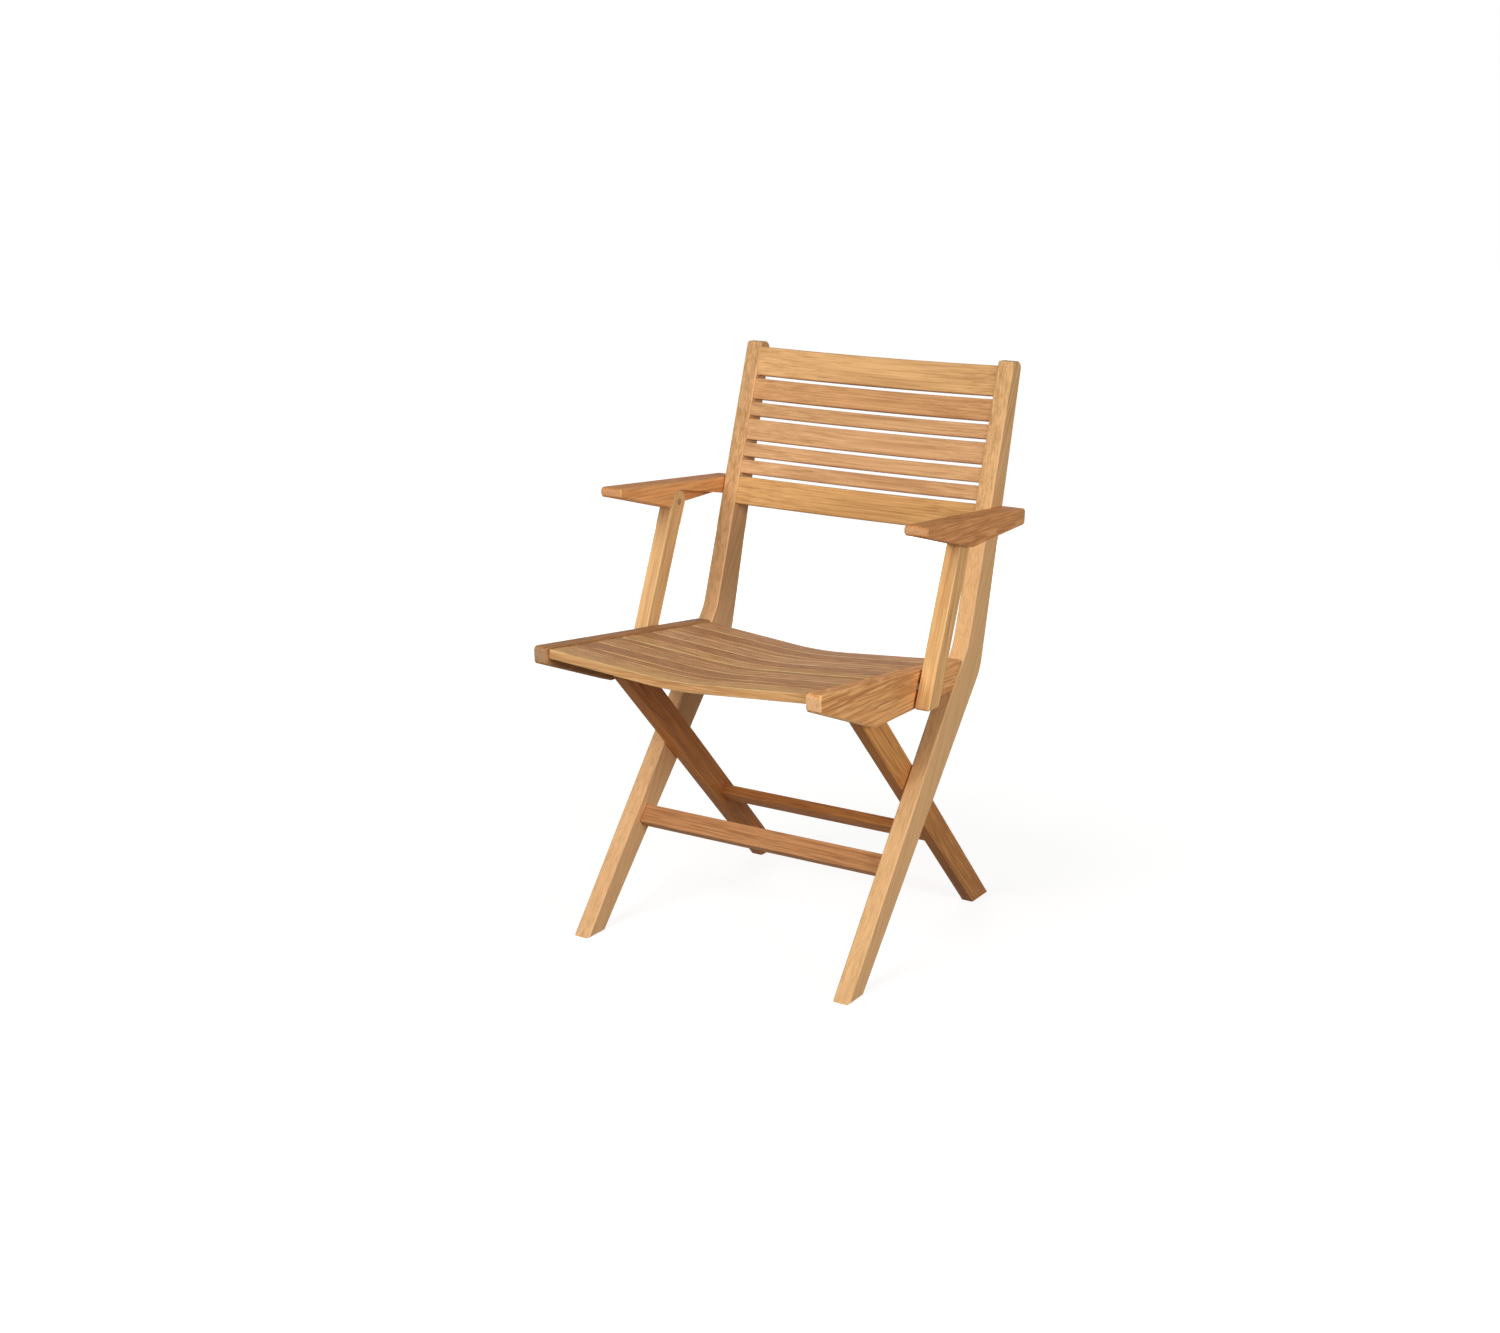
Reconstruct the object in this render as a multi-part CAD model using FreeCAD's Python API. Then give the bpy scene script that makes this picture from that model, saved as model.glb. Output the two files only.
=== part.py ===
import FreeCAD, Part
import math
import os

# A folding teak armchair. Millimetres: X across the chair, Y towards its back, Z up.
# The origin is on the floor, under the middle of the unfolded chair.
# The right-hand pieces (+X) are modelled, and the left-hand ones are their mirror images.
# The slope of an edge is how far it goes towards the back for each unit that it rises.
# The side view is written as points (y, z).

Vec = FreeCAD.Vector

# Layers across the chair, from the middle outwards
CLEAR_WIDTH = 415.0          # between the two posts
POST_THICK = 26.0
LEG_THICK = 22.0
LEG_WASHER = 1.0             # between a leg and its post
RAIL_INNER_INSET = 1.0       # rail's inner face, outside the post's
RAIL_OUTER_INSET = 2.0       # rail's outer face, inside the post's
ARM_WASHER = 1.0             # between a post and its arm
SUPPORT_THICK = 23.0
CHEEK_CLEARANCE = 1.0        # between a support and the arm's cheek
ARM_CHEEK = 13.0             # solid outer part of the arm, beside the support

# Posts: bent boards that are both the front legs and the frame of the back
HEIGHT = 870.0
POST_FOOT_Y = -213.1
POST_FOOT_DEPTH = 44.5
LOWER_FRONT_SLOPE = 0.7714
LOWER_REAR_SLOPE = 0.8745
FRONT_BEND_Z = 450.3
REAR_BEND_Z = 404.7
UPPER_FRONT_SLOPE = 0.275
UPPER_REAR_SLOPE = 0.2073
BEND_RADIUS = 60.0
POST_TOP_ROUND = 12.0
POST_ARRIS = 2.0

# Rear legs, which cross the posts and carry the seat
LEG_FOOT_FRONT_Y = 271.4
LEG_FOOT_DEPTH = 57.6
LEG_UNDER_SLOPE = -1.101
LEG_UPPER_SLOPE = -1.075
LEG_TIP_BELOW_SEAT = 46.6    # hook pin, under the top of the seat rail
LEG_TIP_REACH = 21.5         # from the hook pin to the end of the leg
LEG_TIP_ROUND = 20.0
LEG_ARRIS = 2.0

# Stretchers, let into the posts and into the legs
FRONT_STRETCHER_Z = 155.5
FRONT_STRETCHER_DEPTH = 30.5
FRONT_STRETCHER_THICK = 17.0
REAR_STRETCHER_Z = 144.6
REAR_STRETCHER_DEPTH = 27.0
REAR_STRETCHER_THICK = 16.0
STRETCHER_ARRIS = 1.8
STRETCHER_SHOULDER = 3.5
STRETCHER_TENON = 12.0

# Seat rails
SEAT_FRONT_Y = -329.6
SEAT_FRONT_Z = 470.4
SEAT_SLOPE = 0.084           # drop towards the back, for each unit of depth
RAIL_NOSE_DEPTH = 25.5
RAIL_NOSE_RAKE = 2.5
RAIL_NOSE_ROUND = 6.0
RAIL_KNEE_AHEAD = 16.8       # from the hook pin forward to the knee
RAIL_KNEE_BELOW = 19.5       # from the hook pin down to the knee
RAIL_KNEE_ROUND = 8.0
RAIL_REAR_RISE = 1.5
RAIL_HEEL_ROUND = 3.5
RAIL_END_ROUND = 3.0         # upper corner at the post, which turns about the hinge
RAIL_END_GAP = 0.4           # between the rail's end and the post
RAIL_ARRIS = 2.0

# Seat slats, from the front, dished across the seat
SEAT_SLAT_FRONT_Y = -322.1
SEAT_SLAT_WIDTHS = [46.5, 23.0, 41.0, 39.0, 21.0, 34.0, 42.0, 41.0, 23.0, 43.0, 56.0]
SEAT_SLAT_GAP = 3.0
SEAT_SLAT_THICK = 13.0
SEAT_SLAT_SUNK = 3.0         # below the top of the rail
SEAT_DISH_SLOPE = 0.075
SEAT_DISH_RADIUS = 600.0
SEAT_BACK_CLEARANCE = 3.0    # between the last slat and the plane of the posts' front

# Back slats, from the bottom, bowed backwards between the posts
BACK_TOP_DROP = 7.0
BACK_SLAT_WIDTHS = [44.5, 22.0, 22.0, 33.5, 22.0, 33.5, 46.5]
BACK_SLAT_GAP = 5.6
BACK_SLAT_THICK = 14.0
BACK_SLAT_SUNK = 2.5         # behind the front of the post
BACK_BOW = 13.0

# Slat joints
SEAT_SLAT_ARRIS = 0.8
BACK_SLAT_ARRIS = 1.5
SLAT_TENON = 10.0
SLAT_SHOULDER = 3.0
SLAT_SIDE_SHOULDER = 5.0
LAST_SLAT_REAR_SHOULDER = 24.0

# Arm supports
SUPPORT_TOP_Y = 55.7
SUPPORT_TOP_Z = 629.0
SUPPORT_SLOPE = 0.363
SUPPORT_TOP_WIDTH = 36.5
SUPPORT_FOOT_WIDTH = 33.5
SUPPORT_FOOT_Z = 391.5
SUPPORT_PIN_Z = 419.6
SUPPORT_PIN_AHEAD = 7.5      # of the support's middle line
SUPPORT_CROWN_FLAT = 0.8     # half of what is left between the two rounds of the top
SUPPORT_ARRIS = 2.0
SUPPORT_CORNER = 3.0

# Arms, measured from the support's pivot and from the arm's own pivot
ARM_OVER_SUPPORT = 31.3
ARM_OVER_PIVOT = 13.6
ARM_FRONT_REACH = 166.3
ARM_FRONT_THICK = 14.5
ARM_FRONT_RAKE = 2.0
ARM_FRONT_ROUND = 5.5
ARM_KNEE_AHEAD = 6.8
ARM_KNEE_BELOW = 11.0
ARM_KNEE_ROUND = 45.0
ARM_REAR_REACH = 37.1
ARM_REAR_BELOW = 12.9
ARM_REAR_ROUND = 4.5
ARM_ARRIS = 2.4
ARM_POCKET_CLEARANCE = 0.7   # round the support's top

# The fold, in degrees
SEAT_FOLD = 101.0
LEGS_FOLD = 61.5
HOOK_CLEAR_ANGLE = 12.0      # seat angle at which the hook pins have left the rails

# Pins, bolts and washers
RUNNING_FIT = 0.05
OPEN_PIVOT_FIT = 0.3
PIVOT_RADIUS = 4.0
PIVOT_COVER = 5.0            # wood left over the end of a blind pin
WASHER_RADIUS = 10.0
SPACER_RADIUS = 7.0          # between a rail and its support
HOOK_PIN_RADIUS = 5.0
HOOK_PIN_FIT = 0.3
HOOK_PIN_COVER = 4.0         # leg left behind the inner end of the pin
HOOK_RECESS = 11.0           # depth of the recess in the rail
HOOK_END_CLEARANCE = 0.6
SUPPORT_BOLT_HEAD_RADIUS = 5.2
SUPPORT_BOLT_HEAD_HEIGHT = 3.8
SUPPORT_BOLT_RADIUS = 3.5
SUPPORT_BOLT_COVER = 3.0     # arm left over the end of the bolt
PLUG_RADIUS = 5.5
PLUG_LENGTH = 6.0

# Butt hinges between the rails' ends and the posts, with their barrels sunk in the rails
KNUCKLE_RADIUS = 2.4
KNUCKLE_CLEARANCE = 0.3
KNUCKLE_GAP = 0.3
HINGE_PIN_RADIUS = 1.3
LEAF_THICK = 1.5
LEAF_LENGTH = 32.0
LEAF_MARGIN = 3.0            # wood of the rail at each side of the hinge
LEAF_BRIDGE = 1.2            # half height of the web that carries the post's knuckles
POST_KNUCKLE = 5.0
SCREW_HEAD_RADIUS = 3.0
SCREW_RADIUS = 1.5
SCREW_LENGTH = 10.0
SCREW_PLACES = [16.0, 26.0]  # from the hinge pin along the leaf
SCREW_SIDE_INSET = 7.0       # from the rail's outer face

# An edge is taken as square to an axis if it is shorter than this along it
NO_LENGTH = 0.001

# Places worked out across the chair
POST_IN = CLEAR_WIDTH / 2
POST_OUT = POST_IN + POST_THICK
LEG_OUT = POST_IN - LEG_WASHER
LEG_IN = LEG_OUT - LEG_THICK
RAIL_IN = POST_IN + RAIL_INNER_INSET
RAIL_OUT = POST_OUT - RAIL_OUTER_INSET
ARM_IN = POST_OUT + ARM_WASHER
SUPPORT_IN = ARM_IN
SUPPORT_OUT = SUPPORT_IN + SUPPORT_THICK
CHEEK_IN = SUPPORT_OUT + CHEEK_CLEARANCE
ARM_OUT = CHEEK_IN + ARM_CHEEK


class Line:
    """A straight line in the side view, from a point and a direction."""

    def __init__(self, y, z, dy, dz):
        size = math.hypot(dy, dz)
        self.y = y
        self.z = z
        self.dy = dy / size
        self.dz = dz / size

    def y_at(self, z):
        return self.y + (z - self.z) * self.dy / self.dz

    def z_at(self, y):
        return self.z + (y - self.y) * self.dz / self.dy

    def along(self, distance):
        return (self.y + distance * self.dy, self.z + distance * self.dz)

    def moved(self, distance):
        """The parallel line on the left of the direction: ahead, for one that rises."""
        return Line(self.y - distance * self.dz, self.z + distance * self.dy, self.dy, self.dz)

    def meet(self, other):
        """The point where two lines cross."""
        cross = self.dy * other.dz - self.dz * other.dy
        reach = ((other.y - self.y) * other.dz - (other.z - self.z) * other.dy) / cross
        return self.along(reach)


def turned(point, centre, angle):
    """A point swung about a centre by an angle in degrees, its front going up."""
    turn = math.radians(-angle)
    y = point[0] - centre[0]
    z = point[1] - centre[1]
    turned_y = centre[0] + y * math.cos(turn) - z * math.sin(turn)
    turned_z = centre[1] + y * math.sin(turn) + z * math.cos(turn)
    return (turned_y, turned_z)


# Lines of the posts
LOWER_FRONT = Line(POST_FOOT_Y, 0, LOWER_FRONT_SLOPE, 1)
UPPER_FRONT = Line(LOWER_FRONT.y_at(FRONT_BEND_Z), FRONT_BEND_Z, UPPER_FRONT_SLOPE, 1)
LOWER_REAR = Line(POST_FOOT_Y + POST_FOOT_DEPTH, 0, LOWER_REAR_SLOPE, 1)
UPPER_REAR = Line(LOWER_REAR.y_at(REAR_BEND_Z), REAR_BEND_Z, UPPER_REAR_SLOPE, 1)
POST_MID = Line(POST_FOOT_Y + POST_FOOT_DEPTH / 2, 0, (LOWER_FRONT_SLOPE + LOWER_REAR_SLOPE) / 2, 1)

# Lines of the rear legs
LEG_UNDER = Line(LEG_FOOT_FRONT_Y, 0, LEG_UNDER_SLOPE, 1)
LEG_UPPER = Line(LEG_FOOT_FRONT_Y + LEG_FOOT_DEPTH, 0, LEG_UPPER_SLOPE, 1)
LEG_MID = Line(LEG_FOOT_FRONT_Y + LEG_FOOT_DEPTH / 2, 0, (LEG_UNDER_SLOPE + LEG_UPPER_SLOPE) / 2, 1)
CROSSING = POST_MID.meet(LEG_MID)

# Lines of the seat, with the hinge's barrel just below the rail's top and beside the post
RAIL_TOP = Line(SEAT_FRONT_Y, SEAT_FRONT_Z, 1, -SEAT_SLOPE)
RAIL_END = LOWER_FRONT.moved(RAIL_END_GAP)
KNUCKLE_OFFSET = KNUCKLE_RADIUS + KNUCKLE_CLEARANCE
SEAT_HINGE = RAIL_TOP.moved(-KNUCKLE_RADIUS).meet(LOWER_FRONT.moved(KNUCKLE_OFFSET))
HOOK = Line(SEAT_FRONT_Y, SEAT_FRONT_Z - LEG_TIP_BELOW_SEAT, 1, -SEAT_SLOPE).meet(LEG_MID)

# Pivots of the arms: the four pivots at one side are the corners of a parallelogram
SUPPORT_TOP = (SUPPORT_TOP_Y, SUPPORT_TOP_Z)
SUPPORT_AXIS = Line(SUPPORT_TOP_Y, SUPPORT_TOP_Z, SUPPORT_SLOPE, 1)
SUPPORT_PIN = (SUPPORT_AXIS.y_at(SUPPORT_PIN_Z) - SUPPORT_PIN_AHEAD, SUPPORT_PIN_Z)
ARM_PIVOT = (SEAT_HINGE[0] + SUPPORT_TOP[0] - SUPPORT_PIN[0],
             SEAT_HINGE[1] + SUPPORT_TOP[1] - SUPPORT_PIN[1])


def outline(points, x):
    """Closed outline in a plane across X, from (y, z, corner radius) points."""
    starts = []
    ends = []
    arcs = []
    for index, (y, z, radius) in enumerate(points):
        corner = Vec(x, y, z)
        before = points[index - 1]
        after = points[(index + 1) % len(points)]
        back = (Vec(x, before[0], before[1]) - corner).normalize()
        ahead = (Vec(x, after[0], after[1]) - corner).normalize()
        if radius <= 0:
            starts.append(corner)
            ends.append(corner)
            arcs.append(None)
            continue
        half = back.getAngle(ahead) / 2
        tangent = radius / math.tan(half)
        bisector = (back + ahead).normalize()
        start = corner + back * tangent
        end = corner + ahead * tangent
        middle = corner + bisector * (radius / math.sin(half) - radius)
        starts.append(start)
        ends.append(end)
        arcs.append(Part.Arc(start, middle, end).toShape())
    edges = []
    for index in range(len(points)):
        if arcs[index] is not None:
            edges.append(arcs[index])
        following = starts[(index + 1) % len(points)]
        edges.append(Part.LineSegment(ends[index], following).toShape())
    return Part.Wire(edges)


def prism(points, x_from, x_to):
    """Solid with a side-view outline, between two planes across X."""
    face = Part.Face(outline(points, x_from))
    return face.extrude(Vec(x_to - x_from, 0, 0))


def board(points, x_from, x_to, arris):
    """Prism with its arrises taken off on both faces."""
    solid = prism(points, x_from, x_to)
    rims = [edge for edge in solid.Edges if edge.BoundBox.XLength < NO_LENGTH]
    return solid.makeChamfer(arris, rims)


def bar(centre, line, depth, thick, x_from, x_to, arris):
    """Bar across the chair: its depth lies along a line, its long arrises are rounded."""
    half_depth = depth / 2
    half_thick = thick / 2
    points = []
    for way, side in [(-1, -1), (1, -1), (1, 1), (-1, 1)]:
        y = centre[0] + way * half_depth * line.dy - side * half_thick * line.dz
        z = centre[1] + way * half_depth * line.dz + side * half_thick * line.dy
        points.append((y, z, arris))
    return prism(points, x_from, x_to)


def rod(point, radius, x_from, x_to):
    """Cylinder along X through a point of the side view."""
    return Part.makeCylinder(radius, x_to - x_from, Vec(x_from, point[0], point[1]), Vec(1, 0, 0))


def washer(point, radius, bore, x_from, x_to):
    ring = rod(point, radius, x_from, x_to)
    return ring.cut(rod(point, bore, x_from, x_to))


def mirrored(shape):
    return shape.mirror(Vec(0, 0, 0), Vec(1, 0, 0))


def pair(shape):
    """A right-hand piece with its left-hand twin."""
    return [shape, mirrored(shape)]


def save(name, pieces):
    """One file for a sub-part, which may be a group of separate solids."""
    solids = []
    for piece in pieces:
        solids.extend(piece.Solids)
    shape = solids[0] if len(solids) == 1 else Part.makeCompound(solids)
    shape.exportStep(os.path.join("parts", name + ".step"))


# Slats are made face up, with X along the slat, Y over its width and Z out of its face.
def dished_edges(z):
    """Edges along a seat slat: two straight flanks and an arc in the middle."""
    half = RAIL_IN
    arc_half = SEAT_DISH_RADIUS * math.sin(math.atan(SEAT_DISH_SLOPE))
    arc_drop = SEAT_DISH_RADIUS * (1 - math.cos(math.atan(SEAT_DISH_SLOPE)))
    flank_z = z - SEAT_DISH_SLOPE * (half - arc_half)
    left = Vec(-half, 0, z)
    arc_left = Vec(-arc_half, 0, flank_z)
    middle = Vec(0, 0, flank_z - arc_drop)
    arc_right = Vec(arc_half, 0, flank_z)
    right = Vec(half, 0, z)
    return [Part.LineSegment(left, arc_left).toShape(),
            Part.Arc(arc_left, middle, arc_right).toShape(),
            Part.LineSegment(arc_right, right).toShape()]


def bowed_edges(z):
    """Edges along a back slat: one arc from post to post."""
    half = POST_IN
    return [Part.Arc(Vec(-half, 0, z), Vec(0, 0, z - BACK_BOW), Vec(half, 0, z)).toShape()]


def slat_body(edges_at, half, width, thick, arris):
    """Slat without its tenons."""
    right_end = Part.LineSegment(Vec(half, 0, 0), Vec(half, 0, -thick)).toShape()
    left_end = Part.LineSegment(Vec(-half, 0, -thick), Vec(-half, 0, 0)).toShape()
    edges = edges_at(0) + [right_end] + edges_at(-thick) + [left_end]
    face = Part.Face(Part.Wire(Part.__sortEdges__(edges)))
    solid = face.extrude(Vec(0, width, 0))
    long_edges = [edge for edge in solid.Edges
                  if edge.BoundBox.YLength < NO_LENGTH and edge.BoundBox.XLength > thick]
    return solid.makeChamfer(arris, long_edges)


def slat_tenon(half, width, thick, rear_shoulder):
    """Tenon at the right-hand end of a slat, also the shape of its mortise."""
    return Part.makeBox(SLAT_TENON, width - SLAT_SIDE_SHOULDER - rear_shoulder,
                        thick - 2 * SLAT_SHOULDER,
                        Vec(half, SLAT_SIDE_SHOULDER, SLAT_SHOULDER - thick))


def placed(shape, point, line):
    """A slat's shape set with its front edge at a point and its width along a line."""
    angle = math.degrees(math.atan2(line.dz, line.dy))
    rotation = FreeCAD.Rotation(Vec(1, 0, 0), angle)
    copy = shape.copy()
    copy.Placement = FreeCAD.Placement(Vec(0, point[0], point[1]), rotation)
    return copy


def seat_slats():
    """Seat slats with their right-hand tenons, front to back."""
    slats = []
    face_line = RAIL_TOP.moved(-SEAT_SLAT_SUNK)
    place = (SEAT_SLAT_FRONT_Y - face_line.y) / face_line.dy
    behind_seat = LOWER_FRONT.moved(SEAT_BACK_CLEARANCE)
    far = HEIGHT
    wedge = [(behind_seat.y_at(0), 0, 0), (behind_seat.y_at(far), far, 0),
             (behind_seat.y_at(far) + far, far, 0), (behind_seat.y_at(far) + far, 0, 0)]
    last = len(SEAT_SLAT_WIDTHS) - 1
    for index, width in enumerate(SEAT_SLAT_WIDTHS):
        rear_shoulder = LAST_SLAT_REAR_SHOULDER if index == last else SLAT_SIDE_SHOULDER
        body = slat_body(dished_edges, RAIL_IN, width, SEAT_SLAT_THICK, SEAT_SLAT_ARRIS)
        tenon = slat_tenon(RAIL_IN, width, SEAT_SLAT_THICK, rear_shoulder)
        point = face_line.along(place)
        body = placed(body, point, face_line)
        if index == last:
            body = body.cut(prism(wedge, -POST_OUT, POST_OUT))
        slats.append((body, placed(tenon, point, face_line)))
        place += width + SEAT_SLAT_GAP
    return slats


def back_slats():
    """Back slats with their right-hand tenons, from the bottom up."""
    slats = []
    face_line = UPPER_FRONT.moved(-BACK_SLAT_SUNK)
    total = sum(BACK_SLAT_WIDTHS) + BACK_SLAT_GAP * (len(BACK_SLAT_WIDTHS) - 1)
    top_place = (HEIGHT - BACK_TOP_DROP - face_line.z) / face_line.dz
    place = top_place - total
    for width in BACK_SLAT_WIDTHS:
        body = slat_body(bowed_edges, POST_IN, width, BACK_SLAT_THICK, BACK_SLAT_ARRIS)
        tenon = slat_tenon(POST_IN, width, BACK_SLAT_THICK, SLAT_SIDE_SHOULDER)
        point = face_line.along(place)
        slats.append((placed(body, point, face_line), placed(tenon, point, face_line)))
        place += width + BACK_SLAT_GAP
    return slats


def with_tenons(body, tenon):
    """A cross piece with the right-hand tenon given and its mirror image."""
    return body.fuse([tenon, mirrored(tenon)]).removeSplitter()


def front_stretcher():
    centre = (POST_MID.y_at(FRONT_STRETCHER_Z), FRONT_STRETCHER_Z)
    body = bar(centre, POST_MID, FRONT_STRETCHER_DEPTH, FRONT_STRETCHER_THICK,
               -POST_IN, POST_IN, STRETCHER_ARRIS)
    tenon = bar(centre, POST_MID, FRONT_STRETCHER_DEPTH - 2 * STRETCHER_SHOULDER,
                FRONT_STRETCHER_THICK - 2 * STRETCHER_SHOULDER,
                POST_IN, POST_IN + STRETCHER_TENON, 0)
    return body, tenon


def rear_stretcher():
    centre = (LEG_MID.y_at(REAR_STRETCHER_Z), REAR_STRETCHER_Z)
    body = bar(centre, LEG_MID, REAR_STRETCHER_DEPTH, REAR_STRETCHER_THICK,
               -LEG_IN, LEG_IN, STRETCHER_ARRIS)
    tenon = bar(centre, LEG_MID, REAR_STRETCHER_DEPTH - 2 * STRETCHER_SHOULDER,
                REAR_STRETCHER_THICK - 2 * STRETCHER_SHOULDER,
                LEG_IN, LEG_IN + STRETCHER_TENON, 0)
    return body, tenon


# The hinge's own lines: down the face of the post, and square to it through the hinge pin
LEAF_LINE = Line(SEAT_HINGE[0], SEAT_HINGE[1], -LOWER_FRONT.dy, -LOWER_FRONT.dz)
HINGE_FROM = RAIL_IN + LEAF_MARGIN
HINGE_TO = RAIL_OUT - LEAF_MARGIN


def leaf_plate(face_offset, top, length, thick, x_from, x_to):
    """Plate along the face of the post. Its rear face lies at an offset behind the hinge pin."""
    rear = LEAF_LINE.moved(face_offset)
    front = LEAF_LINE.moved(face_offset - thick)
    corners = [rear.along(-top), rear.along(length), front.along(length), front.along(-top)]
    return prism([(y, z, 0) for y, z in corners], x_from, x_to)


def screw_at(place, face_offset, into_post):
    """Countersunk wood screw through a leaf, its head flush with the leaf's inner face."""
    face = LEAF_LINE.moved(face_offset)
    y, z = face.along(place)
    x = RAIL_OUT - SCREW_SIDE_INSET
    way = 1 if into_post else -1
    inwards = Vec(0, -LEAF_LINE.dz * way, LEAF_LINE.dy * way)
    head = Part.makeCone(SCREW_HEAD_RADIUS, SCREW_RADIUS, LEAF_THICK, Vec(x, y, z), inwards)
    neck = Vec(x, y, z) + inwards * LEAF_THICK
    shank = Part.makeCylinder(SCREW_RADIUS, SCREW_LENGTH - LEAF_THICK, neck, inwards)
    return head.fuse(shank).removeSplitter()


# The post's leaf lies behind the plane of the post's face, the rail's leaf in front of it.
POST_LEAF_INNER = KNUCKLE_OFFSET
RAIL_LEAF_INNER = KNUCKLE_OFFSET - RAIL_END_GAP


def post_screws():
    return [screw_at(place, POST_LEAF_INNER, True) for place in SCREW_PLACES]


def rail_screws():
    return [screw_at(place, RAIL_LEAF_INNER, False) for place in SCREW_PLACES]


def knuckle(x_from, x_to):
    return rod(SEAT_HINGE, KNUCKLE_RADIUS, x_from, x_to)


def hinge_post_leaf():
    """Leaf let into the post, with a web to each of its two outer knuckles."""
    leaf = leaf_plate(POST_LEAF_INNER + LEAF_THICK, LEAF_BRIDGE, LEAF_LENGTH, LEAF_THICK,
                      HINGE_FROM, HINGE_TO)
    ends = [(HINGE_FROM, HINGE_FROM + POST_KNUCKLE), (HINGE_TO - POST_KNUCKLE, HINGE_TO)]
    for x_from, x_to in ends:
        web = leaf_plate(POST_LEAF_INNER, LEAF_BRIDGE, LEAF_BRIDGE, KNUCKLE_OFFSET, x_from, x_to)
        leaf = leaf.fuse([web, knuckle(x_from, x_to)])
    leaf = leaf.cut(rod(SEAT_HINGE, HINGE_PIN_RADIUS, HINGE_FROM, HINGE_TO))
    return leaf.cut(post_screws())


def hinge_seat_leaf():
    """Leaf let into the rail's end, rolled round the pin in the middle."""
    leaf = leaf_plate(RAIL_LEAF_INNER, 0, LEAF_LENGTH, LEAF_THICK, HINGE_FROM, HINGE_TO)
    notch_depth = KNUCKLE_RADIUS + KNUCKLE_CLEARANCE
    inner_from = HINGE_FROM + POST_KNUCKLE + KNUCKLE_GAP
    inner_to = HINGE_TO - POST_KNUCKLE - KNUCKLE_GAP
    leaf = leaf.cut([rod(SEAT_HINGE, notch_depth, HINGE_FROM, inner_from),
                     rod(SEAT_HINGE, notch_depth, inner_to, HINGE_TO)])
    leaf = leaf.fuse(knuckle(inner_from, inner_to))
    bore = rod(SEAT_HINGE, HINGE_PIN_RADIUS + RUNNING_FIT, inner_from, inner_to)
    return leaf.cut([bore] + rail_screws())


def hinge_pin():
    return rod(SEAT_HINGE, HINGE_PIN_RADIUS, HINGE_FROM, HINGE_TO)


def post(slats, stretcher_tenon):
    """Right-hand post, with its mortises, its bores and the bed of the hinge leaf."""
    front_bend = (LOWER_FRONT.y_at(FRONT_BEND_Z), FRONT_BEND_Z, BEND_RADIUS)
    rear_bend = (LOWER_REAR.y_at(REAR_BEND_Z), REAR_BEND_Z, BEND_RADIUS)
    points = [(LOWER_FRONT.y, 0, 0), (LOWER_REAR.y, 0, 0), rear_bend,
              (UPPER_REAR.y_at(HEIGHT), HEIGHT, POST_TOP_ROUND),
              (UPPER_FRONT.y_at(HEIGHT), HEIGHT, 0), front_bend]
    solid = board(points, POST_IN, POST_OUT, POST_ARRIS)
    leaf_bed = leaf_plate(POST_LEAF_INNER + LEAF_THICK, LEAF_BRIDGE, LEAF_LENGTH,
                          LEAF_THICK + KNUCKLE_CLEARANCE, HINGE_FROM, HINGE_TO)
    cuts = [tenon for body, tenon in slats]
    cuts.append(stretcher_tenon)
    cuts.append(leaf_bed)
    cuts.append(rod(CROSSING, PIVOT_RADIUS, POST_IN, POST_OUT - PIVOT_COVER))
    cuts.append(rod(ARM_PIVOT, PIVOT_RADIUS, POST_IN + SLAT_TENON + LEG_WASHER, POST_OUT))
    return solid.cut(cuts + post_screws())


def rear_leg(stretcher_tenon):
    """Right-hand rear leg, with a round upper end that holds the hook pin."""
    end = Line(HOOK[0], HOOK[1], LEG_MID.dz, -LEG_MID.dy).moved(LEG_TIP_REACH)
    under_tip = end.meet(LEG_UNDER)
    upper_tip = end.meet(LEG_UPPER)
    points = [(LEG_UNDER.y, 0, 0), (LEG_UPPER.y, 0, 0),
              (upper_tip[0], upper_tip[1], LEG_TIP_ROUND),
              (under_tip[0], under_tip[1], LEG_TIP_ROUND)]
    solid = board(points, LEG_IN, LEG_OUT, LEG_ARRIS)
    pivot_from = LEG_IN + PIVOT_COVER - OPEN_PIVOT_FIT
    return solid.cut([rod(CROSSING, PIVOT_RADIUS + RUNNING_FIT, pivot_from, LEG_OUT),
                      rod(HOOK, HOOK_PIN_RADIUS, LEG_IN + HOOK_PIN_COVER, LEG_OUT),
                      stretcher_tenon])


def hook_pin_in_rail(seat_angle):
    """Place of the hook pin beside the rail, seen from the rail, with the seat raised."""
    leg_angle = seat_angle * LEGS_FOLD / SEAT_FOLD
    raised = turned(HOOK, CROSSING, leg_angle)
    return turned(raised, SEAT_HINGE, -seat_angle)


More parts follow.
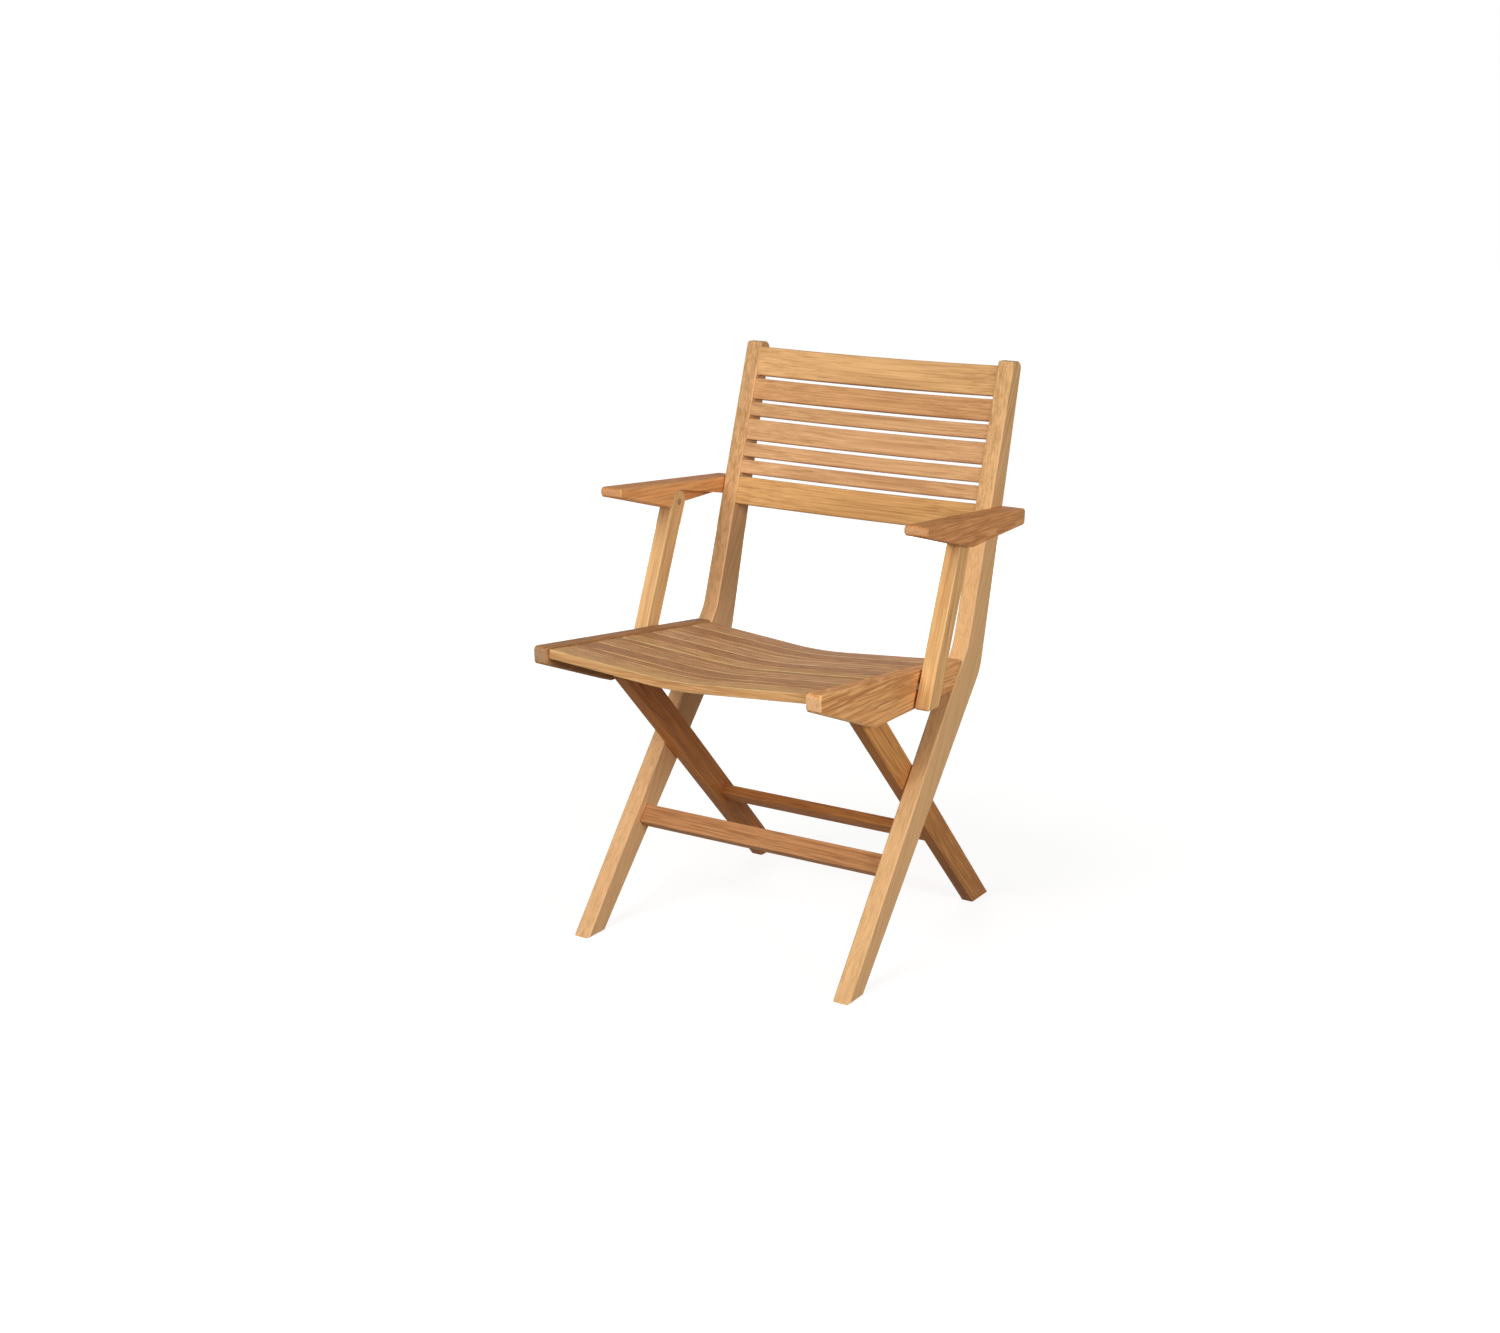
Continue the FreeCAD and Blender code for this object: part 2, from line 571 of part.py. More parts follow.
def hook_recess():
    """Curved recess that the hook pin leaves as the seat rises, open at the rail's edge."""
    radius = HOOK_PIN_RADIUS + HOOK_PIN_FIT
    path = [hook_pin_in_rail(HOOK_CLEAR_ANGLE * share) for share in (0, 0.5, 1)]
    middle_line = Part.Arc(*[Vec(RAIL_IN, y, z) for y, z in path]).toShape().Curve
    centre = middle_line.Center
    edges = []
    ends = []
    for step in (radius, -radius):
        reach = (middle_line.Radius + step) / middle_line.Radius
        side = [centre + (Vec(RAIL_IN, y, z) - centre) * reach for y, z in path]
        edges.append(Part.Arc(*side).toShape())
        ends.append(side)
    edges.append(Part.LineSegment(ends[0][0], ends[1][0]).toShape())
    edges.append(Part.LineSegment(ends[0][2], ends[1][2]).toShape())
    face = Part.Face(Part.Wire(Part.__sortEdges__(edges)))
    slot = face.extrude(Vec(HOOK_RECESS, 0, 0))
    seat = rod(HOOK, radius, RAIL_IN, RAIL_IN + HOOK_RECESS)
    return slot.fuse(seat)


def barrel_bed():
    """Space in the rail's upper corner for the hinge's barrel and the webs of the post's leaf."""
    x_from = HINGE_FROM - KNUCKLE_GAP
    x_to = HINGE_TO + KNUCKLE_GAP
    corner = leaf_plate(KNUCKLE_OFFSET, KNUCKLE_OFFSET, 0, KNUCKLE_OFFSET, x_from, x_to)
    return rod(SEAT_HINGE, KNUCKLE_OFFSET, x_from, x_to).fuse(corner)


def seat_rail(slats):
    """Right-hand seat rail, deepest at the knee that hooks over the rear leg's pin."""
    nose_z = RAIL_TOP.z_at(SEAT_FRONT_Y)
    knee = (HOOK[0] - RAIL_KNEE_AHEAD, HOOK[1] - RAIL_KNEE_BELOW)
    heel_z = knee[1] + RAIL_REAR_RISE
    end_top = RAIL_TOP.meet(RAIL_END)
    points = [(SEAT_FRONT_Y, nose_z, RAIL_NOSE_ROUND),
              (SEAT_FRONT_Y + RAIL_NOSE_RAKE, nose_z - RAIL_NOSE_DEPTH, RAIL_NOSE_ROUND),
              (knee[0], knee[1], RAIL_KNEE_ROUND),
              (RAIL_END.y_at(heel_z), heel_z, RAIL_HEEL_ROUND),
              (end_top[0], end_top[1], RAIL_END_ROUND)]
    solid = board(points, RAIL_IN, RAIL_OUT, RAIL_ARRIS)
    cuts = [tenon for body, tenon in slats]
    cuts.append(hook_recess())
    cuts.append(leaf_plate(RAIL_LEAF_INNER, 0, LEAF_LENGTH, LEAF_THICK, HINGE_FROM, HINGE_TO))
    cuts.append(barrel_bed())
    cuts.append(rod(SUPPORT_PIN, PIVOT_RADIUS, RAIL_IN + PIVOT_COVER, RAIL_OUT))
    return solid.cut(cuts + rail_screws())


# The support's own directions: down its length, and square to it towards the front
SUPPORT_DOWN = Line(SUPPORT_TOP[0], SUPPORT_TOP[1], -SUPPORT_AXIS.dy, -SUPPORT_AXIS.dz)


def arm_support():
    """Right-hand support, with a round top in the arm's pocket and a square foot."""
    half = SUPPORT_TOP_WIDTH / 2
    crown = Line(SUPPORT_TOP[0], SUPPORT_TOP[1], SUPPORT_AXIS.dz, -SUPPORT_AXIS.dy).moved(half)
    foot_y = SUPPORT_AXIS.y_at(SUPPORT_FOOT_Z)
    foot_half = SUPPORT_FOOT_WIDTH / 2 / SUPPORT_AXIS.dz
    crown_round = half - SUPPORT_CROWN_FLAT
    top_ahead = crown.along(-half)
    top_behind = crown.along(half)
    points = [(foot_y - foot_half, SUPPORT_FOOT_Z, SUPPORT_CORNER),
              (foot_y + foot_half, SUPPORT_FOOT_Z, SUPPORT_CORNER),
              (top_behind[0], top_behind[1], crown_round),
              (top_ahead[0], top_ahead[1], crown_round)]
    solid = board(points, SUPPORT_IN, SUPPORT_OUT, SUPPORT_ARRIS)
    head_to = SUPPORT_IN + PLUG_LENGTH + SUPPORT_BOLT_HEAD_HEIGHT + RUNNING_FIT
    pin_to = SUPPORT_OUT - PIVOT_COVER + OPEN_PIVOT_FIT
    return solid.cut([rod(SUPPORT_TOP, PLUG_RADIUS, SUPPORT_IN, head_to),
                      rod(SUPPORT_TOP, SUPPORT_BOLT_RADIUS + RUNNING_FIT, head_to, SUPPORT_OUT),
                      rod(SUPPORT_PIN, PIVOT_RADIUS + OPEN_PIVOT_FIT, SUPPORT_IN, pin_to)])


def arm_pocket():
    """Pocket in the arm's inner half, swept by the support from the open to the folded chair."""
    radius = SUPPORT_TOP_WIDTH / 2 + ARM_POCKET_CLEARANCE
    reach = SUPPORT_TOP_Z - SUPPORT_FOOT_Z
    down = SUPPORT_DOWN.moved(-radius)
    folded_tip = turned(SUPPORT_DOWN.along(1), SUPPORT_TOP, -SEAT_FOLD)
    folded = Line(SUPPORT_TOP[0], SUPPORT_TOP[1],
                  folded_tip[0] - SUPPORT_TOP[0], folded_tip[1] - SUPPORT_TOP[1])
    upper = folded.moved(radius)
    between = turned(SUPPORT_DOWN.along(2 * reach), SUPPORT_TOP, -SEAT_FOLD / 2)
    corners = [SUPPORT_TOP, down.along(0), down.along(reach), between,
               upper.along(reach), upper.along(0)]
    sector = prism([(y, z, 0) for y, z in corners], ARM_IN, CHEEK_IN)
    return sector.fuse(rod(SUPPORT_TOP, radius, ARM_IN, CHEEK_IN))


def arm():
    """Right-hand arm, deepest over the support and thin at the front."""
    top = Line(SUPPORT_TOP[0], SUPPORT_TOP[1] + ARM_OVER_SUPPORT,
               ARM_PIVOT[0] - SUPPORT_TOP[0],
               ARM_PIVOT[1] + ARM_OVER_PIVOT - SUPPORT_TOP[1] - ARM_OVER_SUPPORT)
    front_y = SUPPORT_TOP[0] - ARM_FRONT_REACH
    rear_y = ARM_PIVOT[0] + ARM_REAR_REACH
    points = [(front_y, top.z_at(front_y), ARM_FRONT_ROUND),
              (front_y + ARM_FRONT_RAKE, top.z_at(front_y) - ARM_FRONT_THICK, ARM_FRONT_ROUND),
              (SUPPORT_TOP[0] - ARM_KNEE_AHEAD, SUPPORT_TOP[1] - ARM_KNEE_BELOW, ARM_KNEE_ROUND),
              (rear_y, ARM_PIVOT[1] - ARM_REAR_BELOW, ARM_REAR_ROUND),
              (rear_y, top.z_at(rear_y), ARM_REAR_ROUND)]
    solid = board(points, ARM_IN, ARM_OUT, ARM_ARRIS)
    pivot_bore = rod(ARM_PIVOT, PIVOT_RADIUS + RUNNING_FIT, ARM_IN, ARM_OUT - PIVOT_COVER)
    bolt_bore = rod(SUPPORT_TOP, SUPPORT_BOLT_RADIUS, CHEEK_IN, ARM_OUT - SUPPORT_BOLT_COVER)
    return solid.cut([arm_pocket(), pivot_bore, bolt_bore])


def crossing_pin():
    return rod(CROSSING, PIVOT_RADIUS, LEG_IN + PIVOT_COVER, POST_OUT - PIVOT_COVER)


def crossing_washer():
    return washer(CROSSING, WASHER_RADIUS, PIVOT_RADIUS + RUNNING_FIT, LEG_OUT, POST_IN)


def leg_hook_pin():
    pin_to = RAIL_IN + HOOK_RECESS - HOOK_END_CLEARANCE
    return rod(HOOK, HOOK_PIN_RADIUS, LEG_IN + HOOK_PIN_COVER, pin_to)


def arm_pivot_pin():
    pin_from = POST_IN + SLAT_TENON + LEG_WASHER
    pin_to = ARM_OUT - PIVOT_COVER - OPEN_PIVOT_FIT
    return rod(ARM_PIVOT, PIVOT_RADIUS, pin_from, pin_to)


def arm_washer():
    return washer(ARM_PIVOT, WASHER_RADIUS, PIVOT_RADIUS + RUNNING_FIT, POST_OUT, ARM_IN)


def support_bolt():
    """Bolt under the plug, through the support into the arm's cheek."""
    head_from = SUPPORT_IN + PLUG_LENGTH
    head_to = head_from + SUPPORT_BOLT_HEAD_HEIGHT
    head = rod(SUPPORT_TOP, SUPPORT_BOLT_HEAD_RADIUS, head_from, head_to)
    shank = rod(SUPPORT_TOP, SUPPORT_BOLT_RADIUS, head_to, ARM_OUT - SUPPORT_BOLT_COVER)
    return head.fuse(shank).removeSplitter()


def support_plug():
    return rod(SUPPORT_TOP, PLUG_RADIUS, SUPPORT_IN, SUPPORT_IN + PLUG_LENGTH)


def support_pin():
    pin_from = RAIL_IN + PIVOT_COVER
    return rod(SUPPORT_PIN, PIVOT_RADIUS, pin_from, SUPPORT_OUT - PIVOT_COVER)


def support_spacer():
    return washer(SUPPORT_PIN, SPACER_RADIUS, PIVOT_RADIUS, RAIL_OUT, SUPPORT_IN)


def save_sides(name, right_piece):
    """A right-hand piece and its left-hand twin, each with a file of its own."""
    save("right_" + name, [right_piece])
    save("left_" + name, [mirrored(right_piece)])


def main():
    os.makedirs("parts", exist_ok=True)
    seat = seat_slats()
    back = back_slats()
    front_body, front_tenon = front_stretcher()
    rear_body, rear_tenon = rear_stretcher()

    save_sides("post", post(back, front_tenon))
    save_sides("rear_leg", rear_leg(rear_tenon))
    save_sides("seat_rail", seat_rail(seat))
    save_sides("arm", arm())
    save_sides("arm_support", arm_support())
    save("front_stretcher", [with_tenons(front_body, front_tenon)])
    save("rear_stretcher", [with_tenons(rear_body, rear_tenon)])
    for number, (body, tenon) in enumerate(seat, start=1):
        save("seat_slat_%d" % number, [with_tenons(body, tenon)])
    for number, (body, tenon) in enumerate(back, start=1):
        save("back_slat_%d" % number, [with_tenons(body, tenon)])

    save("crossing_pins", pair(crossing_pin()))
    save("crossing_washers", pair(crossing_washer()))
    save("leg_hook_pins", pair(leg_hook_pin()))
    save("arm_pivot_pins", pair(arm_pivot_pin()))
    save("arm_washers", pair(arm_washer()))
    save_sides("support_bolt", support_bolt())
    save_sides("support_plug", support_plug())
    save("support_pins", pair(support_pin()))
    save("support_spacers", pair(support_spacer()))
    save("hinge_post_leaves", pair(hinge_post_leaf()))
    save("hinge_seat_leaves", pair(hinge_seat_leaf()))
    save("hinge_pins", pair(hinge_pin()))
    save("hinge_post_screws", [twin for screw in post_screws() for twin in pair(screw)])
    save("hinge_seat_screws", [twin for screw in rail_screws() for twin in pair(screw)])

    print("seat hinge", SEAT_HINGE)
    print("leg crossing", CROSSING)
    print("hook pin", HOOK)
    print("arm pivot", ARM_PIVOT)
    print("support pivots", SUPPORT_TOP, SUPPORT_PIN)


main()
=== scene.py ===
import math

import bpy
from mathutils import Matrix, Vector


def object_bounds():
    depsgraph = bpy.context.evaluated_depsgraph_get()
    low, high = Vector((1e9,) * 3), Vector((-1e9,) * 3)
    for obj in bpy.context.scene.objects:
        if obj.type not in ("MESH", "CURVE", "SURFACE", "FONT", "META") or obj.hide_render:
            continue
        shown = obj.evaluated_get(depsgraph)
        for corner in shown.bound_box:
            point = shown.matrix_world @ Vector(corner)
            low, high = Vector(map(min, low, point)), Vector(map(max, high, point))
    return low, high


# Looks of the folding teak armchair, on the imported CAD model. Metres, in the CAD model's own frame.

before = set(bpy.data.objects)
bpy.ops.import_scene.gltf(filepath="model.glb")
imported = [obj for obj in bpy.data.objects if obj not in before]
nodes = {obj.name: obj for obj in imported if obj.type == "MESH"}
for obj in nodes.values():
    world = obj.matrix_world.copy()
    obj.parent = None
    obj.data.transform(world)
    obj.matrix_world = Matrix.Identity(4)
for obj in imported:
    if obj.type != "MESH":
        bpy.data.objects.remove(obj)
cad_low, cad_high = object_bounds()

# Camera, at the photograph's viewing angle
CAMERA_PLACE = Vector((1.4396, -2.6211, 1.1385))
CAMERA_AZIMUTH = 29.856
CAMERA_ELEVATION = 10.665
CAMERA_ROLL = 1.888
CAMERA_SENSOR = 36.0
CAMERA_LENS = 49.05
CAMERA_SHIFT = (-0.0026, -0.0727)

# Lamps: where each stands, as azimuth (0 in front, 90 at the right) and elevation
LAMP_DISTANCE = 3.5
KEY_ANGLES = (-7.0, 27.0)
KEY_SIZE = 1.8
KEY_POWER = 92.0
FILL_ANGLES = (70.0, 14.0)
FILL_SIZE = 1.2
FILL_POWER = 58.0
BACK_ANGLES = (205.0, 4.0)
BACK_SIZE = 1.5
BACK_POWER = 45.0
WORLD_LIGHT = 0.08
WHITE = (1.0, 1.0, 1.0, 1.0)

# Floor: how much light it returns, and how bright it looks near the chair and far from it
FLOOR_REACH = 30.0
FLOOR_COLOUR = (0.3, 0.295, 0.285, 1.0)
FLOOR_NEAR = 0.5
FLOOR_FAR = 3.0
FLOOR_GLOW_NEAR = 0.85
FLOOR_GLOW_FAR = 1.0

# Softened arrises of the boards
ARRIS_ROUND = 0.0008
ARRIS_STEPS = 2
ARRIS_ANGLE = 25.0
MERGE_DISTANCE = 0.00001

# A board's place in its log: its start along the grain, and how far it lies from the pith each way
GRAIN_TILT = 1.0
LOG_STEP = 0.37
PITH_Y = 0.045
PITH_Y_STEP = 0.013
PITH_Y_PLACES = 5
PITH_Z = -0.08
PITH_Z_STEP = 0.03
PITH_Z_PLACES = 7

# Patterns of the wood and of brushed metal, in cells per metre along and across the grain
WANDER_CELLS = (4.0, 9.0)
MOTTLE_CELLS = (2.5, 16.0)
STREAK_CELLS = (3.0, 190.0)
VEIN_CELLS = (2.2, 120.0)
PORE_CELLS = (14.0, 400.0)
FLECK_CELLS = (12.0, 370.0)
SPECKLE_CELLS = (150.0, 350.0)
ARRIS_PATCH_CELLS = (9.0, 9.0)
BRUSHED_CELLS = (60.0, 2500.0)

# How far the grain wanders, and where the flecks lie beside the pores
WANDER_REACH = (0.0, 0.005, 0.005)
FLECK_SHIFT = (0.7, 0.4, 0.9)
MIDDLE = 0.5

# Sockets of Blender's mix node that mix two colours by a share
MIX_COLOUR_INPUTS = (0, 6, 7)
MIX_COLOUR_OUTPUT = 2

# Growth rings, as Blender's wave texture takes them
RINGS = {"Scale": 70.0, "Distortion": 1.2, "Detail": 2.0, "Detail Scale": 0.25, "Detail Roughness": 0.6}

# How much the rings, the mottled tone and the streaks change the tone
RING_WEIGHT = 0.3
MOTTLE_WEIGHT = 1.2
STREAK_WEIGHT = 2.2
TONE_RANGE = (-0.5, 0.5)

# The part of each pattern's range that counts
VEIN_RANGE = (0.53, 0.66)
PORE_RANGE = (0.51, 0.6)
FLECK_RANGE = (0.51, 0.6)
SPECKLE_RANGE = (0.3, 0.6)
ARRIS_PATCH_RANGE = (0.35, 0.6)
END_RANGE = (0.85, 0.95)
ARRIS_RANGE = (0.11, 0.19)
STREAK_RANGE = (0.3, 0.7)

# What turns a board's tone into its other tones: red, green and blue
DARK = (0.52, 0.40, 0.30)
DEEP = (0.74, 0.67, 0.6)
BRIGHT = (1.24, 1.3, 1.38)
PALE = (1.28, 1.36, 1.55)
BUTT = (1.02, 1.38, 2.3)
PALEST = (0.9, 0.75, 0.6)
BRIGHTEST_BARE_AND_SHEEN = 0.9

# Strengths of the marks beside a board's own
PORE_DEPTH = 0.8
PORE_SHARE = 0.9
SPECKLE_SHARE = 0.9
PALER_BELOW_GAIN = 1.05

# Gloss and relief of the wood
WOOD_SPECULAR = 0.18
WOOD_ROUGHNESS = (0.55, 0.7)
FLECK_HEIGHT = 0.5
WOOD_RELIEF = {"Strength": 0.3, "Distance": 0.0005}

# Gloss and relief of the metal
METAL_DEEP = 0.8
METAL_BRIGHT = 1.1
BRUSHED_ROUGHNESS = 0.2
WORN_ROUGHNESS = 0.1
METAL_RELIEF = {"Strength": 0.1, "Distance": 0.0001}
STEEL_COLOUR = (0.32, 0.30, 0.28)
BRASS_COLOUR = (0.60, 0.46, 0.27)
METAL_ROUGHNESS = 0.4

# Grain directions, and the directions that the boards' broad faces look in
ACROSS = (1.0, 0.0, 0.0)
ALONG_POST = (0.0, 0.50, 0.87)
ALONG_LEG = (0.0, -1.09, 1.0)
ALONG_RAIL = (0.0, 1.0, -0.01)
ALONG_ARM = (0.0, 1.0, 0.0)
ALONG_SUPPORT = (0.0, 0.363, 1.0)
SIDEWAYS = (1.0, 0.0, 0.0)
UPWARDS = (0.0, 0.084, 1.0)
FORWARDS = (0.0, -0.97, 0.25)
FRONT_STRETCHER_FACE = (0.0, -0.79, 0.61)
REAR_STRETCHER_FACE = (0.0, 0.67, 0.74)

# Tones of the boards, as linear colours
STRAW = (0.70, 0.395, 0.17)
HONEY = (0.67, 0.378, 0.155)
PEACH = (0.69, 0.38, 0.17)
CREAM = (0.88, 0.515, 0.225)
GOLD = (0.80, 0.45, 0.175)
BLOND = (0.68, 0.375, 0.15)
GILT = (0.655, 0.345, 0.122)
SAND = (0.65, 0.35, 0.155)
PINK = (0.63, 0.32, 0.13)
TAN = (0.62, 0.325, 0.14)
DUN = (0.52, 0.256, 0.106)
AMBER = (0.76, 0.35, 0.12)
APRICOT = (0.87, 0.405, 0.145)
COPPER = (0.60, 0.26, 0.085)
SALMON = (0.48, 0.215, 0.08)
RUSSET = (0.66, 0.30, 0.085)
UMBER = (0.41, 0.195, 0.07)
WALNUT = (0.55, 0.215, 0.06)
NUT = (0.42, 0.21, 0.08)
CHESTNUT = (0.60, 0.235, 0.065)

# Ramps down a board: paler on the posts, partly the wood's own tone and partly painted light; darker on
# the legs, painted shade. Each gives the share of pale, or of dark if negative, and the heights of its
# start and end
LEFT_POST_TONE_AND_PAINTED_LIGHT = (0.5, 0.60, 0.44)
RIGHT_POST_TONE_AND_PAINTED_LIGHT = (0.55, 0.66, 0.58)
LEFT_LEG_PAINTED_SHADE = (-0.12, 0.34, 0.22)
RIGHT_LEG_PAINTED_SHADE = (-0.65, 0.34, 0.22)


def towards(azimuth, elevation):
    """Unit vector from the chair towards an azimuth and elevation in degrees."""
    a = math.radians(azimuth)
    e = math.radians(elevation)
    return Vector((math.sin(a) * math.cos(e), -math.cos(a) * math.cos(e), math.sin(e)))


def add_camera():
    back = towards(CAMERA_AZIMUTH, CAMERA_ELEVATION)
    right = Vector((0, 0, 1)).cross(back).normalized()
    up = back.cross(right)
    roll = Matrix.Rotation(math.radians(CAMERA_ROLL), 3, back)
    axes = Matrix((roll @ right, roll @ up, back)).transposed()
    data = bpy.data.cameras.new("camera")
    data.sensor_width = CAMERA_SENSOR
    data.lens = CAMERA_LENS
    data.shift_x, data.shift_y = CAMERA_SHIFT
    camera = bpy.data.objects.new("camera", data)
    camera.matrix_world = Matrix.Translation(CAMERA_PLACE) @ axes.to_4x4()
    bpy.context.scene.collection.objects.link(camera)
    bpy.context.scene.camera = camera


def add_lamp(name, angles, size, power):
    """Square soft lamp that shines at the middle of the chair."""
    data = bpy.data.lights.new(name, "AREA")
    data.energy = power
    data.size = size
    lamp = bpy.data.objects.new(name, data)
    aim = (cad_low + cad_high) / 2
    direction = towards(*angles)
    lamp.location = aim + direction * LAMP_DISTANCE
    lamp.rotation_mode = "QUATERNION"
    lamp.rotation_quaternion = (-direction).to_track_quat("-Z", "Y")
    bpy.context.scene.collection.objects.link(lamp)
    return lamp


class Shader:
    """The nodes of a material or of the world, under construction."""

    def __init__(self, owner):
        self.owner = owner
        self.owner.use_nodes = True
        self.tree = self.owner.node_tree
        self.tree.nodes.clear()

    def feed(self, socket, value):
        """Links a socket to another, or sets it to a value."""
        if isinstance(value, bpy.types.NodeSocket):
            self.tree.links.new(value, socket)
        else:
            socket.default_value = value

    def add(self, kind, inputs=None, **settings):
        """Node with its settings, and with its inputs set to values or linked to sockets."""
        node = self.tree.nodes.new("ShaderNode" + kind)
        for key, value in settings.items():
            setattr(node, key, value)
        for key, value in (inputs or {}).items():
            self.feed(node.inputs[key], value)
        return node

    def math(self, operation, first, second=0.0):
        return self.add("Math", {0: first, 1: second}, operation=operation).outputs[0]

    def vector(self, operation, first, second):
        return self.add("VectorMath", {0: first, 1: second}, operation=operation).outputs["Vector"]

    def dot(self, first, direction):
        """How far a unit vector points along a direction, from -1 to 1."""
        unit = Vector(direction).normalized()
        return self.add("VectorMath", {0: first, 1: unit}, operation="DOT_PRODUCT").outputs["Value"]

    def noise(self, vector, cells, detail=2.0, roughness=0.5):
        """Noise stretched along the grain, with this many cells per metre along and across it."""
        along, across = cells
        scale = (along, across, across)
        stretched = self.add("Mapping", {"Vector": vector, "Scale": scale}).outputs[0]
        return self.add("TexNoise", {"Vector": stretched, "Scale": 1.0, "Detail": detail,
                                     "Roughness": roughness})

    def swing(self, pattern, weight):
        """How far a pattern is from its middle, times a weight."""
        return self.math("MULTIPLY", self.math("SUBTRACT", pattern, MIDDLE), weight)

    def spread(self, value, low, high):
        """The value's stretch from low to high, as 0 to 1."""
        return self.add("MapRange", {"Value": value, "From Min": low, "From Max": high}).outputs[0]

    def blend(self, share, first, second):
        """Two colours mixed by a share."""
        node = self.add("Mix", data_type="RGBA")
        for socket, value in zip(MIX_COLOUR_INPUTS, (share, first, second)):
            self.feed(node.inputs[socket], value)
        return node.outputs[MIX_COLOUR_OUTPUT]

    def pattern(self, vector, cells, span, **settings):
        """A stretched noise's span of values, as 0 to 1."""
        return self.spread(self.noise(vector, cells, **settings).outputs["Fac"], *span)

    def backdrop_rays(self):
        """1 for the rays that see the pale backdrop, and 0 for the rays that light the chair."""
        path = self.add("LightPath").outputs
        seen = self.math("MAXIMUM", path["Is Camera Ray"], path["Is Glossy Ray"])
        return self.math("MAXIMUM", seen, path["Is Transmission Ray"])

    def finish(self, output, surface):
        self.add(output, {"Surface": surface})
        return self.owner


def shade(colour, factor=1.0):
    """A linear colour with alpha, made darker or lighter."""
    return tuple(channel * factor for channel in colour) + (1.0,)


def tint(tone, factors):
    """A tone with each channel times its own factor."""
    return tuple(channel * factor for channel, factor in zip(tone, factors))


def capped(colour, limits):
    """A colour with each channel held to its limit."""
    return tuple(min(channel, limit) for channel, limit in zip(colour, limits))


def log_place(shader, place, seed, along):
    """Where each point of a board lay in its log, with the grain along X."""
    turn = Vector(along).normalized().rotation_difference(Vector((1, 0, 0)))
    lean = Matrix.Rotation(math.radians(GRAIN_TILT), 3, "Z").to_quaternion()
    pith_y = PITH_Y + PITH_Y_STEP * (seed % PITH_Y_PLACES)
    pith_z = PITH_Z + PITH_Z_STEP * (seed % PITH_Z_PLACES)
    pith = (LOG_STEP * seed, pith_y, pith_z)
    turned = (lean @ turn).to_euler()
    return shader.add("Mapping", {"Vector": place, "Rotation": turned, "Location": pith}).outputs[0]


def wander(shader, log):
    """The log's coordinates with grain that wanders a little from the straight."""
    offset = shader.noise(log, WANDER_CELLS, detail=1.0).outputs["Color"]
    offset = shader.vector("SUBTRACT", offset, (MIDDLE, MIDDLE, MIDDLE))
    offset = shader.vector("MULTIPLY", offset, WANDER_REACH)
    return shader.vector("ADD", log, offset)


def grow(shader, log, grain, streaks, tone):
    """Colour of the growth rings, the mottled tone and the streaks."""
    rings = shader.add("TexWave", {"Vector": grain, **RINGS},
                       wave_type="RINGS", rings_direction="X", wave_profile="SAW").outputs["Fac"]
    mottle = shader.noise(log, MOTTLE_CELLS).outputs["Fac"]
    value = shader.swing(rings, RING_WEIGHT)
    value = shader.math("ADD", value, shader.swing(mottle, MOTTLE_WEIGHT))
    value = shader.math("ADD", value, shader.swing(streaks, STREAK_WEIGHT))
    mellow = shader.spread(value, *TONE_RANGE)
    return shader.blend(mellow, shade(tint(tone, DEEP)), shade(tint(tone, BRIGHT)))


def ramp_tone_and_painted_light_down(shader, colour, place, dark, pale, tone_and_painted_light_ramp):
    """The colour turned paler downwards, partly the wood's tone and partly painted light, or darker by a
    negative share, which is painted shade.
    """
    share, start, end = tone_and_painted_light_ramp
    height = shader.add("SeparateXYZ", {0: place}).outputs["Z"]
    down = shader.spread(height, start, end)
    below = shade(pale, PALER_BELOW_GAIN) if share > 0 else shade(dark)
    return shader.blend(shader.math("MULTIPLY", down, abs(share)), colour, below)


def mark(shader, colour, grain, dark, pale, veins, flecks):
    """Dark veins, short dark pores and light flecks. Gives the colour and the surface's relief."""
    vein = shader.pattern(grain, VEIN_CELLS, VEIN_RANGE, detail=4.0, roughness=0.7)
    colour = shader.blend(shader.math("MULTIPLY", vein, veins), colour, shade(dark))
    pores = shader.pattern(grain, PORE_CELLS, PORE_RANGE)
    pored = shader.math("MULTIPLY", pores, PORE_SHARE * veins)
    colour = shader.blend(pored, colour, shade(dark, PORE_DEPTH))
    shifted = shader.vector("ADD", grain, FLECK_SHIFT)
    fleck = shader.pattern(shifted, FLECK_CELLS, FLECK_RANGE)
    colour = shader.blend(shader.math("MULTIPLY", fleck, flecks), colour, shade(pale))
    relief = shader.math("SUBTRACT", shader.math("MULTIPLY", fleck, FLECK_HEIGHT), pores)
    return colour, relief


def show_ends(shader, colour, facing, log, along, tone):
    """Paler speckled end grain where the surface looks along the grain."""
    ends = shader.math("ABSOLUTE", shader.dot(facing, along))
    ends = shader.spread(ends, *END_RANGE)
    speckle = shader.pattern(log, SPECKLE_CELLS, SPECKLE_RANGE)
    speckle = shader.math("MULTIPLY", speckle, ends)
    share = shader.math("MULTIPLY", speckle, SPECKLE_SHARE)
    return shader.blend(share, colour, shade(tint(tone, BUTT)))


